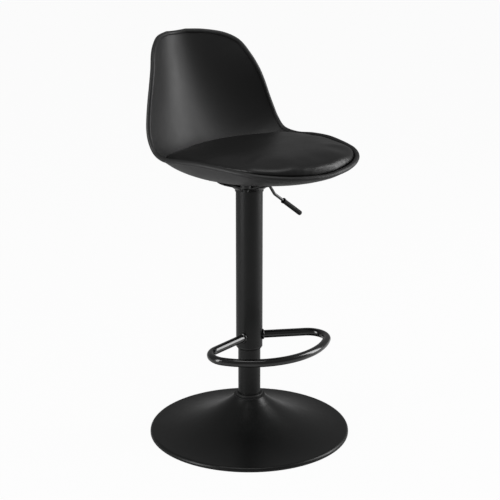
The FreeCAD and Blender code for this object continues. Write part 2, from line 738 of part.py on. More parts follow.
def make_lever_rod():
    """The bent rod of the lever, swept round its centre line and bored for the pivot."""
    stops = [Vector(-6, 0, lever_z.value), Vector(46, 0, lever_z.value),
             grip_start - grip_way * 29, grip_start + grip_way * 20]
    edges, bend = [], 9.0
    start = stops[0]
    for i in (1, 2):
        before, after = (start - stops[i]).normalize(), (stops[i + 1] - stops[i]).normalize()
        half_angle = before.getAngle(after) / 2
        cut = bend / math.tan(half_angle)
        first, last = stops[i] + before * cut, stops[i] + after * cut
        middle = stops[i] + (before + after).normalize() * (bend / math.sin(half_angle))
        arc_mid = middle + (stops[i] - middle).normalize() * bend
        edges += [Part.makeLine(start, first), Part.Arc(first, arc_mid, last).toShape()]
        start = last
    edges.append(Part.makeLine(start, stops[3]))
    wire = Part.Wire(edges)
    circle = Part.Wire(Part.makeCircle(sized("lever_radius").value, stops[0], Vector(1, 0, 0)))
    rod = wire.makePipeShell([circle], True, True)
    reach = sized("pivot_reach").value
    hole = Part.makeCylinder(sized("pivot_radius").value + sized("slide_gap").value, 12,
                             Vector(reach, -6, lever_z.value), Vector(0, 1, 0))
    obj = doc.addObject("Part::Feature", "lever_rod")
    obj.Shape = rod.cut(hole)
    return keep(obj, "lever_rod")


make_lever_rod()


def make_grip():
    """Rubber grip with a small bead at its mouth and a rounded end, turned about its own axis."""
    r, length = sized("grip_radius").value, sized("grip_length").value
    bore = sized("lever_radius").value + sized("seat_gap").value
    outer = Part.makeCylinder(r, length)
    outer = outer.makeFillet(2.2, [e for e in outer.Edges if len(e.Vertexes) == 1
                                   and e.Vertexes[0].Point.z > length / 2])
    bead = Part.makeCylinder(r + 0.9, 3.0)
    bead = bead.makeFillet(0.8, [e for e in bead.Edges if len(e.Vertexes) == 1])
    whole = outer.fuse(bead).removeSplitter().cut(Part.makeCylinder(bore, 20.1))
    obj = doc.addObject("Part::Feature", "lever_grip")
    obj.Shape = whole
    obj.Placement = Placement(grip_start, Rotation(Vector(0, 0, 1), grip_way))
    return keep(obj, "lever_grip")


make_grip()

lug_gap = sized("lever_radius") + 0.4
pin = primitive("Cylinder", "lever_pin", Radius=sized("pivot_radius"),
                Height=(lug_gap + sized("lug_thickness") + 1.0) * 2)
pin.Placement = Placement(
    Vector(sized("pivot_reach").value, (lug_gap + sized("lug_thickness") + 1.0).value, lever_z.value),
    Rotation(Vector(1, 0, 0), 90))
keep(pin, "lever_pin")


def make_bracket():
    """Two lugs that hang from the seat plate and hold the lever's pin."""
    lugs = []
    for name, y_text in (("lug_left", (lug_gap + ZERO).text),
                         ("lug_right", f"(-{lug_gap.text} - Sizes.lug_thickness)")):
        lug = primitive("Box", name, Length=8, Width=sized("lug_thickness"),
                        Height=sized("plate_bottom") - sized("lever_height") + 2.6)
        lug.setExpression(".Placement.Base.x", "Sizes.pivot_reach - 4")
        lug.setExpression(".Placement.Base.y", y_text)
        lug.setExpression(".Placement.Base.z", "Sizes.lever_height - 2.6")
        lugs.append(lug)
    hole = primitive("Cylinder", "lug_hole", Radius=sized("pivot_radius") + sized("seat_gap"),
                     Height=30)
    hole.Placement = Placement(Vector(sized("pivot_reach").value, 15, lever_z.value),
                               Rotation(Vector(1, 0, 0), 90))
    return combine("Cut", "lever_bracket", fuse("lugs", lugs), hole)


keep(make_bracket(), "lever_bracket")

# ---------------------------------------------------------------- bucket seat

# Each station: centre (y, z) and rim (x as a share of half the width, y, z) of the outer face,
# and the power that shapes the bowl between them. They run from the front edge to the top.
STATIONS = [
    ((-229.0, 595.5), (0.150, -227.1, 597.0), 2.0),
    ((-224.0, 588.0), (0.364, -217.5, 599.5), 2.2),
    ((-211.0, 580.5), (0.560, -202.0, 602.0), 2.5),
    ((-186.0, 573.0), (0.725, -178.0, 604.5), 2.8),
    ((-151.0, 565.0), (0.838, -145.0, 607.5), 3.0),
    ((-106.0, 556.0), (0.908, -100.0, 609.5), 3.1),
    ((-55.0, 548.5), (0.963, -50.0, 609.5), 3.2),
    ((0.0, 544.0), (0.992, 2.0, 605.0), 3.3),
    ((50.0, 545.0), (0.980, 50.0, 599.0), 3.3),
    ((92.0, 550.0), (0.955, 85.0, 604.0), 3.2),
    ((124.0, 562.0), (0.943, 104.0, 622.0), 3.0),
    ((148.0, 582.0), (0.925, 114.0, 643.0), 2.7),
    ((166.0, 608.0), (0.890, 121.0, 668.0), 2.4),
    ((181.0, 642.0), (0.847, 126.5, 696.0), 2.3),
    ((196.0, 683.0), (0.793, 133.0, 724.0), 2.2),
    ((210.0, 722.0), (0.717, 145.0, 754.0), 2.2),
    ((221.0, 753.0), (0.628, 163.0, 781.5), 2.2),
    ((229.0, 777.0), (0.498, 186.0, 796.5), 2.2),
    ((234.5, 794.0), (0.322, 215.0, 802.5), 2.2),
    ((237.0, 802.0), (0.138, 233.0, 804.0), 2.0),
]
half_width = sized("seat_width").value / 2
ACROSS = 25
CUSHION_START = 0.18
CUSHION_END = 10.9


def station_at(s):
    """Centre, rim and power at a place between stations, by Catmull-Rom blending."""
    rows = [(*c, *r, p) for c, r, p in STATIONS]
    i = min(int(s), len(rows) - 2)
    t = s - i
    before, after = rows[max(i - 1, 0)], rows[min(i + 2, len(rows) - 1)]
    here, there = rows[i], rows[i + 1]
    out = []
    for a, b, c, d in zip(before, here, there, after):
        out.append(b + 0.5 * t * (c - a + t * (2 * a - 5 * b + 4 * c - d + t * (3 * (b - c) + d - a))))
    return out


def outer_point(s, u):
    """Point of the shell's outer face: s along the stations, u from -1 to 1 across."""
    yc, zc, x_share, yr, zr, power = station_at(s)
    lift = abs(u) ** power
    return Vector(x_share * half_width * u, yc + (yr - yc) * lift, zc + (zr - zc) * lift)


def shell_point(s, u, depth):
    """Point at a depth inside the outer face, measured square to it."""
    top, step = len(STATIONS) - 1, 0.02
    along_s = outer_point(min(s + step, top), u) - outer_point(max(s - step, 0), u)
    along_u = outer_point(s, min(u + step, 1)) - outer_point(s, max(u - step, -1))
    normal = along_u.cross(along_s).normalize()
    return outer_point(s, u) + normal * depth


def skin(grid):
    surface = Part.BSplineSurface()
    surface.interpolate(grid)
    return surface


def closed_solid(lower, upper):
    """Solid between two grids of points of the same shape."""
    surfaces = [skin(lower), skin(upper)]
    faces = [surface.toShape() for surface in surfaces]
    low, high = surfaces
    u0, u1, v0, v1 = low.bounds()
    for at, make in ((u0, "uIso"), (u1, "uIso"), (v0, "vIso"), (v1, "vIso")):
        curves = [getattr(surface, make)(at).toShape() for surface in (low, high)]
        faces.append(Part.makeRuledSurface(curves[0], curves[1]))
    sewn = Part.makeShell(faces)
    sewn.sewShape()
    solid = Part.makeSolid(sewn)
    if solid.Volume < 0:
        solid.reverse()
    return solid


def make_shell():
    wall_size = sized("shell_wall").value
    across = [-1 + 2 * i / (ACROSS - 1) for i in range(ACROSS)]
    rows = [k / 2 for k in range(2 * len(STATIONS) - 1)]
    outer = [[shell_point(s, u, 0) for u in across] for s in rows]
    inner = [[shell_point(s, u, wall_size) for u in across] for s in rows]
    obj = doc.addObject("Part::Feature", "seat_shell")
    obj.Shape = closed_solid(outer, inner)
    return keep(obj, "seat_shell")


def cushion_reach(s):
    """How far across the cushion goes at a station, as a share of the shell."""
    _, zc, _, _, zr, power = station_at(s)
    share, limit = sized("cushion_share").value, sized("cushion_limit").value
    if zc + (zr - zc) * share ** power > limit:
        share = (max(limit - zc, 0.5) / (zr - zc)) ** (1 / power)
    return share


def make_cushion():
    depth = sized("shell_wall").value + sized("cushion_gap").value
    rows = [CUSHION_START + (CUSHION_END - CUSHION_START) * i / 15 for i in range(16)]
    across = [math.sin(math.pi / 2 * (-1 + 2 * i / 24)) for i in range(25)]
    lower, upper = [], []
    for k, s in enumerate(rows):
        share = cushion_reach(s)
        line = [shell_point(s, w * share, depth) for w in across]
        edge_z = line[0].z
        v = -1 + 2 * k / (len(rows) - 1)
        crown = sized("cushion_crown").value * (1 - abs(v) ** 6)
        top = []
        for w, point in zip(across, line):
            height = edge_z + sized("cushion_edge").value + crown * (1 - abs(w) ** 6)
            top.append(Vector(point.x, point.y, max(height, point.z + sized("cushion_edge").value)))
        lower.append(line)
        upper.append(top)
    obj = doc.addObject("Part::Feature", "cushion")
    obj.Shape = closed_solid(lower, upper)
    return keep(obj, "cushion")


make_shell()
make_cushion()
keep(combine("Cut", "seat_spacers", spacers_raw, nodes["seat_shell"]), "seat_spacers")

# ---------------------------------------------------------------- checks and export

doc.recompute()
faults = []
for obj in doc.Objects:
    if {"Invalid", "Error"} & set(obj.State):
        faults.append(f"{obj.Name}: {obj.State}")
for name, obj in nodes.items():
    shape = obj.Shape
    if shape.isNull() or not shape.isValid() or shape.Volume <= 0 or not shape.Solids:
        faults.append(f"{name}: the shape is empty or not valid")
if faults:
    raise RuntimeError("; ".join(faults))
os.makedirs("parts", exist_ok=True)
for name, obj in nodes.items():
    obj.Shape.exportStep(f"parts/{name}.step")
print(f"{len(nodes)} sub-parts written")
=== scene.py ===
import logging
import math
from dataclasses import dataclass, field
from enum import Enum

import bpy
import numpy as np
from mathutils import Matrix, Vector


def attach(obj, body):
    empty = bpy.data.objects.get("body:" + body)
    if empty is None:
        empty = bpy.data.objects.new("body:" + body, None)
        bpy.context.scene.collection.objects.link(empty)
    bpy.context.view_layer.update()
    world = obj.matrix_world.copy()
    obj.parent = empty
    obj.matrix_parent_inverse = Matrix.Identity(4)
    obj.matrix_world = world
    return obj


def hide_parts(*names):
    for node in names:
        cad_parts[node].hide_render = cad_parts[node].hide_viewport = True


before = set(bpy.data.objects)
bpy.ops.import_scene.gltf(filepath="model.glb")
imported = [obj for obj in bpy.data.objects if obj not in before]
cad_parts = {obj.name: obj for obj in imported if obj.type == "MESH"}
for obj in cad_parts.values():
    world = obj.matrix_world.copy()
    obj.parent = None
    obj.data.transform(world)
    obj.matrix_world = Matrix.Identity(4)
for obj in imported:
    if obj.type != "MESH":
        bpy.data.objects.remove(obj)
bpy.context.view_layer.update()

LOG = logging.getLogger("bar_stool")

Array = np.ndarray


# ---------------------------------------------------------------- meshes


def grid_faces(rows: int, columns: int, closed: bool, start: int = 0) -> Array:
    """Quads between neighbouring rows of a grid whose points are stored row after row.

    Args:
        rows: number of rows.
        columns: points in each row.
        closed: whether each row's last point joins its first.
        start: index of the grid's first point.

    Returns:
        An integer array of quads.
    """
    last = columns if closed else columns - 1
    i, j = np.meshgrid(np.arange(rows - 1), np.arange(last), indexing="ij")
    k = (j + 1) % columns
    here, above = i * columns, (i + 1) * columns
    return np.stack([here + j, here + k, above + k, above + j], -1).reshape(-1, 4) + start


def fan_faces(centre: int, ring: Array, outward: bool) -> Array:
    """Triangles from one centre point to a closed ring of points.

    Args:
        centre: index of the centre point.
        ring: indices round the ring.
        outward: turns the triangles over when false.

    Returns:
        An integer array of triangles.
    """
    following = np.roll(ring, -1)
    middle = np.full_like(ring, centre)
    order = [middle, ring, following] if outward else [middle, following, ring]
    return np.stack(order, -1)


def make_piece(name: str, points: Array, faces: list[Array],
               crease: float | None = 40.0) -> bpy.types.Object:
    """Make a mesh object from arrays of points and faces.

    Args:
        name: the piece's name.
        points: positions in metres, one row each.
        faces: arrays of quads or triangles.
        crease: edges sharper than this many degrees stay sharp; None keeps all edges smooth.

    Returns:
        The new object, at the origin.
    """
    mesh = bpy.data.meshes.new(name)
    lists = [face for group in faces for face in group.tolist()]
    mesh.from_pydata(points.reshape(-1, 3).tolist(), [], lists)
    mesh.update()
    mesh.shade_smooth()
    if crease is not None:
        mesh.set_sharp_from_angle(angle=math.radians(crease))
    piece = bpy.data.objects.new(name, mesh)
    bpy.context.scene.collection.objects.link(piece)
    return piece


def unit(vectors: Array) -> Array:
    """Vectors scaled to length one along the last axis."""
    return vectors / np.maximum(np.linalg.norm(vectors, axis=-1, keepdims=True), 1e-12)


# ---------------------------------------------------------------- finishes


# The shared skin: noise scales are per metre, and the idle cell is the size that a finish without
# leather cells hands over.
CLOUD_SCALE = 14.0
CLOUD_DETAIL = 3.0
SMUDGE_SCALE = 60.0
FINE_DETAIL = 2.0
CLOUD_SHADE = (0.35, 0.35, 0.36, 1.0)
CLOUD_REACH = 2.0
CELL_SMOOTHNESS = 0.6
CELL_RISE = 1.4
GRAIN_ON_CELLS = 0.35
IDLE_CELL = 0.002


class Coating(Enum):
    """How a finish gets its sheen."""

    BARE = "bare"
    LACQUER = "lacquer"


@dataclass(frozen=True)
class Finish:
    """One surface finish: its colour, its gloss and the fine relief of its skin.

    Lengths are in metres. The spread is how far the roughness swings, and the fade how far the colour
    darkens in the clouds. A finish with a hide cell has leather cells of that size and depth.
    """

    name: str
    colour: tuple[float, float, float]
    roughness: float
    roughness_spread: float
    grain_size: float
    grain_depth: float
    metallic: float = 0.0
    specular: float = 0.5
    coating: Coating = Coating.BARE
    hide_cell: float = 0.0
    hide_depth: float = 0.0
    fade: float = 0.12
    coat_weight: float = 0.6
    coat_roughness: float = 0.06

    def material(self) -> bpy.types.Material:
        """Build the finish as a material.

        Returns:
            The material, made once and found by name after that.
        """
        found = bpy.data.materials.get(self.name)
        if found:
            return found
        material = bpy.data.materials.new(self.name)
        material.use_nodes = True
        nodes, links = material.node_tree.nodes, material.node_tree.links
        shader = nodes["Principled BSDF"]
        shader.inputs["Metallic"].default_value = self.metallic
        shader.inputs["Specular IOR Level"].default_value = self.specular
        if self.coating is Coating.LACQUER:
            shader.inputs["Coat Weight"].default_value = self.coat_weight
            shader.inputs["Coat Roughness"].default_value = self.coat_roughness
        place = nodes.new("ShaderNodeTexCoord")
        skin = nodes.new("ShaderNodeGroup")
        skin.node_tree = skin_group()
        values = {
            "Colour": (*self.colour, 1.0),
            "Roughness": self.roughness,
            "Spread": self.roughness_spread,
            "Grain size": self.grain_size,
            "Cell size": self.hide_cell or IDLE_CELL,
            "Cell share": 1.0 if self.hide_cell else 0.0,
            "Fade": self.fade,
        }
        for socket, value in values.items():
            skin.inputs[socket].default_value = value
        bump = nodes.new("ShaderNodeBump")
        bump.inputs["Strength"].default_value = 1.0
        bump.inputs["Distance"].default_value = self.hide_depth or self.grain_depth
        links.new(place.outputs["Object"], skin.inputs["Place"])
        links.new(skin.outputs["Colour"], shader.inputs["Base Color"])
        links.new(skin.outputs["Roughness"], shader.inputs["Roughness"])
        links.new(skin.outputs["Height"], bump.inputs["Height"])
        links.new(bump.outputs["Normal"], shader.inputs["Normal"])
        return material


def skin_group() -> bpy.types.ShaderNodeTree:
    """The fine skin shared by every finish: cloudy colour and gloss, a grain and leather cells.

    Returns:
        A node group with the outputs Colour, Roughness and Height.
    """
    found = bpy.data.node_groups.get("fine skin")
    if found:
        return found
    group = bpy.data.node_groups.new("fine skin", "ShaderNodeTree")
    sockets = group.interface
    sockets.new_socket("Place", in_out="INPUT", socket_type="NodeSocketVector")
    sockets.new_socket("Colour", in_out="INPUT", socket_type="NodeSocketColor")
    for name in ("Roughness", "Spread", "Grain size", "Cell size", "Cell share", "Fade"):
        sockets.new_socket(name, in_out="INPUT", socket_type="NodeSocketFloat")
    sockets.new_socket("Colour", in_out="OUTPUT", socket_type="NodeSocketColor")
    sockets.new_socket("Roughness", in_out="OUTPUT", socket_type="NodeSocketFloat")
    sockets.new_socket("Height", in_out="OUTPUT", socket_type="NodeSocketFloat")
    nodes, links = group.nodes, group.links
    inside = nodes.new("NodeGroupInput")
    outside = nodes.new("NodeGroupOutput")

    def maths(operation: str, *sources: object) -> bpy.types.NodeSocket:
        """Add a Math node.

        Args:
            operation: the sum it does.
            sources: the sockets or numbers that feed it.

        Returns:
            Its output.
        """
        node = nodes.new("ShaderNodeMath")
        node.operation = operation
        for slot, source in enumerate(sources):
            if isinstance(source, bpy.types.NodeSocket):
                links.new(source, node.inputs[slot])
            else:
                node.inputs[slot].default_value = source
        return node.outputs[0]

    def noise(scale: object, detail: float) -> bpy.types.NodeSocket:
        """Add a Noise texture on the object's own coordinates.

        Args:
            scale: a socket or a number.
            detail: how many finer layers it has.

        Returns:
            Its value.
        """
        node = nodes.new("ShaderNodeTexNoise")
        node.inputs["Detail"].default_value = detail
        links.new(inside.outputs["Place"], node.inputs["Vector"])
        if isinstance(scale, bpy.types.NodeSocket):
            links.new(scale, node.inputs["Scale"])
        else:
            node.inputs["Scale"].default_value = scale
        return node.outputs["Fac"]

    cloud = noise(CLOUD_SCALE, CLOUD_DETAIL)
    smudge = noise(SMUDGE_SCALE, FINE_DETAIL)
    grain = noise(maths("DIVIDE", 1.0, inside.outputs["Grain size"]), FINE_DETAIL)
    cells = nodes.new("ShaderNodeTexVoronoi")
    cells.feature = "SMOOTH_F1"
    cells.inputs["Smoothness"].default_value = CELL_SMOOTHNESS
    links.new(inside.outputs["Place"], cells.inputs["Vector"])
    links.new(maths("DIVIDE", 1.0, inside.outputs["Cell size"]), cells.inputs["Scale"])
    pebble = maths("SUBTRACT", 1.0, maths("MULTIPLY", cells.outputs["Distance"], CELL_RISE))

    shade = nodes.new("ShaderNodeMix")
    shade.data_type = "RGBA"
    shade.blend_type = "MULTIPLY"
    depth = maths("MULTIPLY", inside.outputs["Fade"], maths("SUBTRACT", 1.0, cloud))
    links.new(maths("MULTIPLY", depth, CLOUD_REACH), shade.inputs["Factor"])
    links.new(inside.outputs["Colour"], shade.inputs["A"])
    shade.inputs["B"].default_value = CLOUD_SHADE
    links.new(shade.outputs["Result"], outside.inputs["Colour"])

    mottle = maths("SUBTRACT", maths("ADD", cloud, smudge), 1.0)
    swing = maths("MULTIPLY", mottle, inside.outputs["Spread"])
    links.new(maths("ADD", inside.outputs["Roughness"], swing), outside.inputs["Roughness"])

    height = nodes.new("ShaderNodeMix")
    height.data_type = "FLOAT"
    links.new(inside.outputs["Cell share"], height.inputs["Factor"])
    links.new(grain, height.inputs["A"])
    links.new(maths("ADD", pebble, maths("MULTIPLY", grain, GRAIN_ON_CELLS)), height.inputs["B"])
    links.new(height.outputs["Result"], outside.inputs["Height"])
    return group


POWDER = Finish("satin powder coat", (0.0030, 0.0034, 0.0033), 0.36, 0.08, 0.0006, 0.00002, specular=0.4)
GLOSS = Finish("gloss stoved paint", (0.0025, 0.0025, 0.0025), 0.22, 0.05, 0.0012, 0.00001,
               coating=Coating.LACQUER)
MOULDED = Finish("moulded plastic skin", (0.017, 0.017, 0.0172), 0.50, 0.08, 0.0007, 0.00003)
HIDE = Finish("coated seat cloth", (0.006, 0.006, 0.006), 0.40, 0.08, 0.0004, 0.00002,
              hide_cell=0.0011, hide_depth=0.00004)
RUBBER = Finish("moulded rubber", (0.006, 0.006, 0.006), 0.62, 0.08, 0.0009, 0.00005, specular=0.3)
STEEL = Finish("ground steel", (0.50, 0.51, 0.52), 0.32, 0.12, 0.0005, 0.00001, metallic=1.0)


def dress(piece: bpy.types.Object, finish: Finish) -> None:
    """Give a piece one finish all over.

    Args:
        piece: the piece, whose slots are all filled.
        finish: the finish.
    """
    material = finish.material()
    slots = piece.data.materials
    if not len(slots):
        slots.append(material)
    for index in range(len(slots)):
        slots[index] = material


# ---------------------------------------------------------------- the bucket's surface


@dataclass
class Bowl:
    """The face that the bucket seat is built on, in millimetres.

    Stations run from the front edge (0) to the top of the back. Each holds the centre line's y and z,
    the rim's x as a share of half the width, the rim's y and z, and the power of the curve between.
    """

    half_width: float = 176.0
    wall: float = 4.0
    step: float = 0.02
    stations: tuple[tuple[float, ...], ...] = (
        (-229.0, 595.5, 0.150, -227.1, 597.0, 2.0),
        (-224.0, 588.0, 0.364, -217.5, 599.5, 2.2),
        (-211.0, 580.5, 0.560, -202.0, 602.0, 2.5),
        (-186.0, 573.0, 0.725, -178.0, 604.5, 2.8),
        (-151.0, 565.0, 0.838, -145.0, 607.5, 3.0),
        (-106.0, 556.0, 0.908, -100.0, 609.5, 3.1),
        (-55.0, 548.5, 0.963, -50.0, 609.5, 3.2),
        (0.0, 544.0, 0.992, 2.0, 605.0, 3.3),
        (50.0, 545.0, 0.980, 50.0, 599.0, 3.3),
        (92.0, 550.0, 0.955, 85.0, 604.0, 3.2),
        (124.0, 562.0, 0.943, 104.0, 622.0, 3.0),
        (148.0, 582.0, 0.925, 114.0, 643.0, 2.7),
        (166.0, 608.0, 0.890, 121.0, 668.0, 2.4),
        (181.0, 642.0, 0.847, 126.5, 696.0, 2.3),
        (196.0, 683.0, 0.793, 133.0, 724.0, 2.2),
        (210.0, 722.0, 0.717, 145.0, 754.0, 2.2),
        (221.0, 753.0, 0.628, 163.0, 781.5, 2.2),
        (229.0, 777.0, 0.498, 186.0, 796.5, 2.2),
        (234.5, 794.0, 0.322, 215.0, 802.5, 2.2),
        (237.0, 802.0, 0.138, 233.0, 804.0, 2.0),
    )

    @property
    def last(self) -> float:
        """Place of the last station."""
        return float(len(self.stations) - 1)

    def station(self, s: Array) -> Array:
        """Station values at places between stations, blended by Catmull-Rom cubics.

        Args:
            s: places along the stations.

        Returns:
            Six values for each place, on a new last axis.
        """
        table = np.array(self.stations)
        top = len(table) - 1
        i = np.clip(np.floor(s).astype(int), 0, top - 1)
        t = (s - i)[..., None]
        a, b = table[np.maximum(i - 1, 0)], table[i]
        c, d = table[i + 1], table[np.minimum(i + 2, top)]
        return b + 0.5 * t * (c - a + t * (2 * a - 5 * b + 4 * c - d + t * (3 * (b - c) + d - a)))

    def face(self, s: Array, u: Array) -> Array:
        """Points of the outer face: centre plus (rim - centre) times |u| to the station's power.

        Args:
            s: places along the stations.
            u: places across, from -1 at one rim to 1 at the other.

        Returns:
            Positions on a new last axis.
        """
        yc, zc, share, yr, zr, power = np.moveaxis(self.station(s), -1, 0)
        lift = np.abs(u) ** power
        return np.stack([share * self.half_width * u, yc + (yr - yc) * lift, zc + (zr - zc) * lift], -1)

    def inward(self, s: Array, u: Array) -> Array:
        """Unit normals of the face: the cross product of its differences along u and along s.

        Args:
            s: places along the stations.
            u: places across.

        Returns:
            Directions towards the sitter, on a new last axis.
        """
        step = self.step
        along_s = self.face(np.minimum(s + step, self.last), u) - self.face(np.maximum(s - step, 0), u)
        along_u = self.face(s, np.minimum(u + step, 1)) - self.face(s, np.maximum(u - step, -1))
        return unit(np.cross(along_u, along_s))

    def at_depth(self, s: Array, u: Array, depth: float) -> Array:
        """Points a given depth inside the outer face, measured square to it."""
        return self.face(s, u) + self.inward(s, u) * depth


def even_loop(s: Array, u: Array, points: Array, count: int) -> tuple[Array, Array]:
    """Resample a closed loop of places so that its points are evenly spaced.

    Args:
        s: places along the stations round the loop.
        u: places across, round the loop.
        points: positions of the same places.
        count: how many places are wanted.

    Returns:
        The evenly spaced places s and u.
    """
    steps = np.linalg.norm(np.diff(np.vstack([points, points[:1]]), axis=0), axis=1)
    length = np.concatenate([[0.0], np.cumsum(steps)])
    wanted = np.linspace(0, length[-1], count, endpoint=False)
    return (np.interp(wanted, length, np.append(s, s[0])), np.interp(wanted, length, np.append(u, u[0])))


# ---------------------------------------------------------------- sub-assemblies


@dataclass
class BucketShell:
    """The moulded bucket with its rolled rim.

    The lip is the bead's radius and lip_depth its centre's depth, in millimetres. The bead's direction is
    evened over a window of neighbours, and its tangent spans a stride to each side. The faces end a little
    further in than the bead's foot, by the factor clear.
    """

    bowl: Bowl
    lip: float = 4.9
    lip_depth: float = 1.0
    around: int = 560
    rings: int = 64
    lip_rings: int = 22
    even: int = 45
    stride: int = 4
    clear: float = 1.04
    crease: float = 50.0
    side_samples: int = 600
    end_samples: int = 120
    spoke_samples: int = 120
    spoke_end: float = 0.6

    def rim_places(self) -> tuple[Array, Array]:
        """Places round the rim: one side, the top, the other side and the front.

        Returns:
            The evenly spaced places s and u.
        """
        n, m = self.side_samples - 1, self.end_samples - 1
        up = np.linspace(0, self.bowl.last, n + 1)
        across = np.linspace(1, -1, m + 1)
        s = np.concatenate([up[:-1], np.full(m, self.bowl.last), up[::-1][:-1], np.zeros(m)])
        u = np.concatenate([np.ones(n), across[:-1], -np.ones(n), across[::-1][:-1]])
        return even_loop(s, u, self.bowl.face(s, u), self.around)

    def spoke(self, s_rim: Array, u_rim: Array, inset: float) -> tuple[Array, Array]:
        """Places that lie a given distance inside the rim, on straight spokes from the middle.

        Args:
            s_rim: places of the rim along the stations.
            u_rim: places of the rim across.
            inset: distance from the rim in millimetres.

        Returns:
            The places s and u.
        """
        middle = self.bowl.last / 2
        reach = np.linspace(1, self.spoke_end, self.spoke_samples)[:, None]
        s = middle + (s_rim - middle) * reach
        u = u_rim * reach
        steps = np.linalg.norm(np.diff(self.bowl.face(s, u), axis=0), axis=-1)
        length = np.vstack([np.zeros(s.shape[1]), np.cumsum(steps, axis=0)])
        k = np.clip((length < inset).sum(0), 1, len(reach) - 1)
        low = np.take_along_axis(length, (k - 1)[None], 0)[0]
        high = np.take_along_axis(length, k[None], 0)[0]
        part = (inset - low) / np.maximum(high - low, 1e-9)
        share = reach[k - 1, 0] + (reach[k, 0] - reach[k - 1, 0]) * part
        return middle + (s_rim - middle) * share, u_rim * share

    def side(self, s_end: Array, u_end: Array, depth: float) -> Array:
        """Rings of points from the middle of a face out to its end places.

        Args:
            s_end: the end places along the stations.
            u_end: the end places across.
            depth: how far inside the outer face the rings lie, in millimetres.

        Returns:
            An array of rings.
        """
        middle = self.bowl.last / 2
        reach = np.linspace(0, 1, self.rings + 1)[1:, None]
        return self.bowl.at_depth(middle + (s_end - middle) * reach, u_end * reach, depth)

    def layers(self) -> Array:
        """Rings of points over the whole shell: inner face, bead and outer face.

        The bead is a circle of radius lip carried along the rim, with its centre at the depth lip_depth.
        It leaves the inner face, turns outwards and under, and comes back to the outer face.

        Returns:
            An array of rings, in millimetres.
        """
        bowl, lip = self.bowl, self.lip
        s_rim, u_rim = self.rim_places()
        rim = bowl.face(s_rim, u_rim)
        normal = bowl.inward(s_rim, u_rim)
        span = self.even // 2
        window = np.hanning(self.even) / np.hanning(self.even).sum()
        normal = unit(sum(w * np.roll(normal, k - span, 0) for k, w in enumerate(window)))
        along = unit(np.roll(rim, -self.stride, 0) - np.roll(rim, self.stride, 0))
        out = unit(np.cross(along, normal))
        centre = bowl.face(np.array([bowl.last / 2]), np.array([0.0]))
        out *= np.sign((out * (rim - centre)).sum(-1, keepdims=True))
        normal = unit(normal - along * (normal * along).sum(-1, keepdims=True))
        core = rim - out * lip + normal * self.lip_depth
        above = math.asin((bowl.wall - self.lip_depth) / lip)
        below = math.asin(self.lip_depth / lip)
        angle = np.linspace(math.pi - above, below - math.pi, self.lip_rings)[:, None, None]
        bead = core + lip * (np.cos(angle) * out + np.sin(angle) * normal)
        inner_end = self.spoke(s_rim, u_rim, lip * (1 + math.cos(above)) * self.clear)
        outer_end = self.spoke(s_rim, u_rim, lip * (1 + math.cos(below)) * self.clear)
        inner = self.side(*inner_end, bowl.wall)
        outer = self.side(*outer_end, 0.0)[::-1]
        return np.concatenate([inner, bead, outer])

    def build(self) -> bpy.types.Object:
        """Build the shell as one closed skin with a pole in the middle of each face.

        Returns:
            The closed mesh object.
        """
        bowl = self.bowl
        rows = self.layers()
        count = rows.shape[0]
        poles = np.stack([bowl.at_depth(np.array([bowl.last / 2]), np.array([0.0]), depth)[0]
                          for depth in (bowl.wall, 0.0)])
        points = np.concatenate([rows.reshape(-1, 3), poles]) / 1000
        first = np.arange(self.around)
        faces = [
            grid_faces(count, self.around, True)[:, ::-1],
            fan_faces(count * self.around, first, True),
            fan_faces(count * self.around + 1, first + (count - 1) * self.around, False),
        ]
        piece = make_piece("bucket_shell", points, faces, crease=self.crease)
        fix_normals(piece)
        dress(piece, MOULDED)
        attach(piece, "carriage")
        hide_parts("seat_shell")
        return piece


def fix_normals(piece: bpy.types.Object) -> None:
    """Turn a closed mesh the right way out if its volume is negative.

    The volume's sign is that of the sum of a . (b x c) over its triangles.

    Args:
        piece: the mesh's object.
    """
    mesh = piece.data
    mesh.calc_loop_triangles()
    corners = np.empty(len(mesh.loop_triangles) * 3, int)
    mesh.loop_triangles.foreach_get("vertices", corners)
    places = np.empty(len(mesh.vertices) * 3)
    mesh.vertices.foreach_get("co", places)
    a, b, c = np.moveaxis(places.reshape(-1, 3)[corners.reshape(-1, 3)], 1, 0)
    if (a * np.cross(b, c)).sum() < 0:
        mesh.flip_normals()


